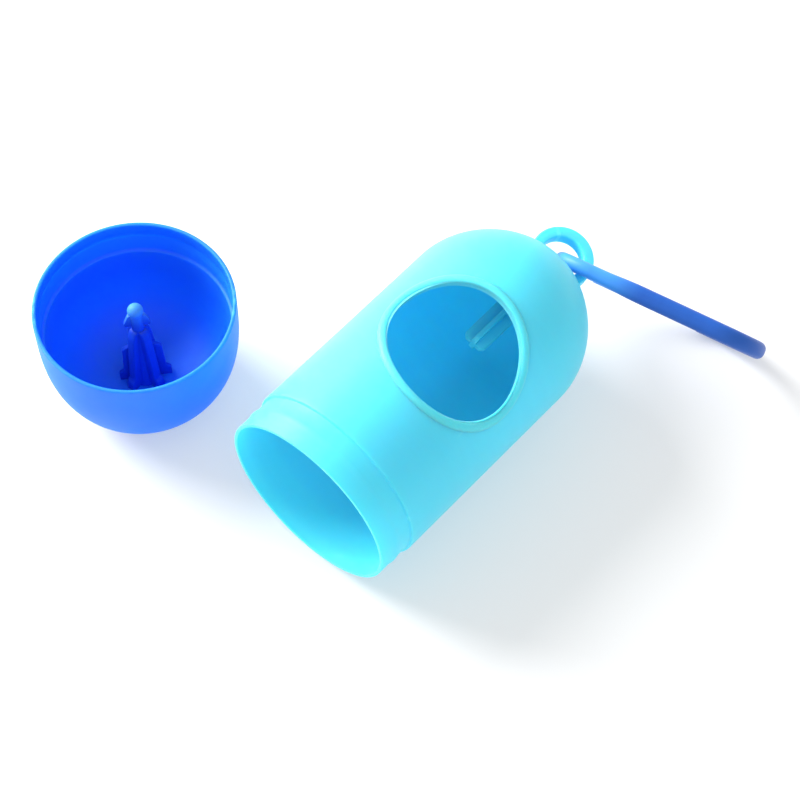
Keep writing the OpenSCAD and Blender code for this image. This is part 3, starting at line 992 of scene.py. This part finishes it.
class DISPENSER_OT_clip_gate(bpy.types.Operator):
    """Make the gate with its slot, catch, pin hole and spring bore"""
    bl_idname = "dispenser.clip_gate"
    bl_label = "Clip Gate"

    def execute(self, context):
        clip, plan = settings().clip, ClipPlan()
        free_end = plan.nose + plan.tongue_gap
        corner, rounding, pin_room, bore = 1.0 * MM, 0.35 * MM, 0.05 * MM, 1 * MM
        section = rounded_section(clip.gate_width, clip.gate_thickness, corner)
        outline = [Vector((free_end, across, up)) for across, up in section]
        gate = draw_face("clip_gate_arm", outline)
        run_straight(Vector((plan.pivot - free_end, 0, 0)), 8)
        close(gate)
        knuckle = disc("knuckle", plan.pivot, clip.gate_width / 2, clip.gate_thickness * 0.99)
        round_edges(knuckle, rounding)
        combine(gate, knuckle, "UNION")
        slot = plan.hinge_thickness + 2 * plan.side_gap
        catch = plan.tongue_thickness + 2 * plan.side_gap
        room = plan.hinge_radius + plan.tongue_gap
        beyond = clip.bar_width
        cuts = [
            disc("hinge_slot", plan.pivot, room, slot),
            box_plate("slot_mouth", plan.pivot, plan.pivot + beyond, -beyond, beyond,
                      slot * 1.001),
            disc("pin_hole", plan.pivot, clip.pin_radius + pin_room, clip.bar_thickness * 2),
            box_plate("catch", free_end - 1 * MM, plan.tongue + plan.tongue_gap, -0.45 * MM,
                      beyond, catch),
        ]
        bore_end = plan.pivot - 10.1 * MM
        bore_side = [Vector((along, 0, out)) for along, out in
                     ((bore_end, 0), (bore_end, bore), (plan.pivot, bore), (plan.pivot, 0))]
        cuts.append(lathe("spring_bore", bore_side, (1, 0, 0), 32))
        for cut in cuts:
            combine(gate, cut, "DIFFERENCE")
        place(gate, plan.place() @ plan.gate_side())
        finish_piece(gate, "gate", clip_plastic(), ["clip_gate"])
        return {"FINISHED"}


class DISPENSER_OT_steel_parts(bpy.types.Operator):
    """Give the gate's pin and spring their steel"""
    bl_idname = "dispenser.steel_parts"
    bl_label = "Steel Parts"

    def execute(self, context):
        steel = drawn_steel()
        for name in ("gate_pin", "gate_spring"):
            node = frame["nodes"][name]
            node.data.materials.clear()
            node.data.materials.append(steel)
        return {"FINISHED"}


# The stage, with each light's name, direction from the target, distance and diameter in metres

LIGHTS = (("key", Vector((-0.22, 1.35, 0.88)), 0.60, 0.45),
          ("fill", Vector((-0.9, -0.9, 1.2)), 0.75, 0.7))
SENSOR_WIDTH = 36
NEAR_CLIP = 0.01
FLOOR_SIZE = 6


def add_light(name, direction, distance, size, power, target):
    """An area light that looks at the target from a direction."""
    deselect()
    bpy.ops.object.light_add(type="AREA", location=target + direction.normalized() * distance)
    light = bpy.context.object
    light.name = name
    light.data.shape = "DISK"
    light.data.size = size
    light.data.energy = power
    light.rotation_euler = direction.to_track_quat("Z", "Y").to_euler()


class DISPENSER_OT_stage(bpy.types.Operator):
    """Set up the camera, the pale floor and the soft light"""
    bl_idname = "dispenser.stage"
    bl_label = "Stage"

    def execute(self, context):
        stage = settings().stage
        target = Vector(stage.target)
        back = Vector((sin(stage.azimuth) * cos(stage.elevation),
                       -cos(stage.azimuth) * cos(stage.elevation), sin(stage.elevation)))
        deselect()
        bpy.ops.object.camera_add(location=target + back * stage.distance)
        camera = context.object
        camera.name = "camera"
        camera.data.lens = stage.lens
        camera.data.sensor_width = SENSOR_WIDTH
        camera.data.clip_start = NEAR_CLIP
        camera.rotation_euler = (back.to_track_quat("Z", "Y").to_matrix()
                                 @ Matrix.Rotation(stage.roll, 3, "Z")).to_euler()
        context.scene.camera = camera
        context.scene.view_settings.view_transform = "Standard"

        bpy.ops.mesh.primitive_plane_add(size=FLOOR_SIZE, location=(0, 0, 0))
        floor = context.object
        floor.name = floor.data.name = "floor"
        paper = bpy.data.materials.new("Pale floor")
        paper.use_nodes = True
        nodes, link = paper.node_tree.nodes, paper.node_tree.links.new
        shader = nodes["Principled BSDF"]
        coordinates = nodes.new("ShaderNodeTexCoord")
        clouds = nodes.new("ShaderNodeTexNoise")
        preset(clouds, Scale=3)
        tint = nodes.new("ShaderNodeValToRGB")
        tint.color_ramp.elements[0].color = [value * 0.99 for value in stage.floor[:3]] + [1]
        tint.color_ramp.elements[1].color = stage.floor
        link(coordinates.outputs["Object"], clouds.inputs["Vector"])
        link(clouds.outputs["Fac"], tint.inputs["Fac"])
        link(tint.outputs["Color"], shader.inputs["Base Color"])
        preset(shader, Roughness=0.9, Emission_Color=stage.floor, Emission_Strength=stage.glow)
        floor.data.materials.append(paper)

        for light, power in zip(LIGHTS, (stage.key_power, stage.fill_power)):
            add_light(*light, power, target)

        world = context.scene.world or bpy.data.worlds.new("Sky")
        context.scene.world = world
        world.use_nodes = True
        sky = world.node_tree.nodes["Background"]
        preset(sky, Color=(1, 1, 1, 1), Strength=stage.sky)
        return {"FINISHED"}


class DISPENSER_PT_panel(bpy.types.Panel):
    """The dispenser's steps, in order"""
    bl_label = "Dispenser"
    bl_idname = "DISPENSER_PT_panel"
    bl_space_type = "VIEW_3D"
    bl_region_type = "UI"
    bl_category = "Dispenser"

    def draw(self, context):
        for operator in OPERATORS:
            self.layout.operator(operator.bl_idname)


OPERATORS = (
    DISPENSER_OT_stage,
    DISPENSER_OT_barrel_shell,
    DISPENSER_OT_window_bead,
    DISPENSER_OT_eye,
    DISPENSER_OT_roll_post,
    DISPENSER_OT_cap_shell,
    DISPENSER_OT_spindle,
    DISPENSER_OT_clip_ring,
    DISPENSER_OT_clip_gate,
    DISPENSER_OT_steel_parts,
)
CLASSES = (BarrelSettings, CapSettings, SpindleSettings, ClipSettings, StageSettings,
           DispenserSettings, *OPERATORS, DISPENSER_PT_panel)


def register():
    """Registers the classes and the scene's settings."""
    for each in CLASSES:
        bpy.utils.register_class(each)
    bpy.types.Scene.dispenser = PointerProperty(type=DispenserSettings)


def unregister():
    """Takes the settings and the classes out again."""
    del bpy.types.Scene.dispenser
    for each in reversed(CLASSES):
        bpy.utils.unregister_class(each)


def main():
    """Builds the dispenser."""
    register()
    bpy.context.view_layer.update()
    bpy.ops.dispenser.stage()
    bpy.ops.dispenser.barrel_shell()
    bpy.ops.dispenser.window_bead()
    bpy.ops.dispenser.eye()
    bpy.ops.dispenser.roll_post()
    bpy.ops.dispenser.cap_shell()
    bpy.ops.dispenser.spindle()
    bpy.ops.dispenser.clip_ring()
    bpy.ops.dispenser.clip_gate()
    bpy.ops.dispenser.steel_parts()


if __name__ == "__main__":
    main()
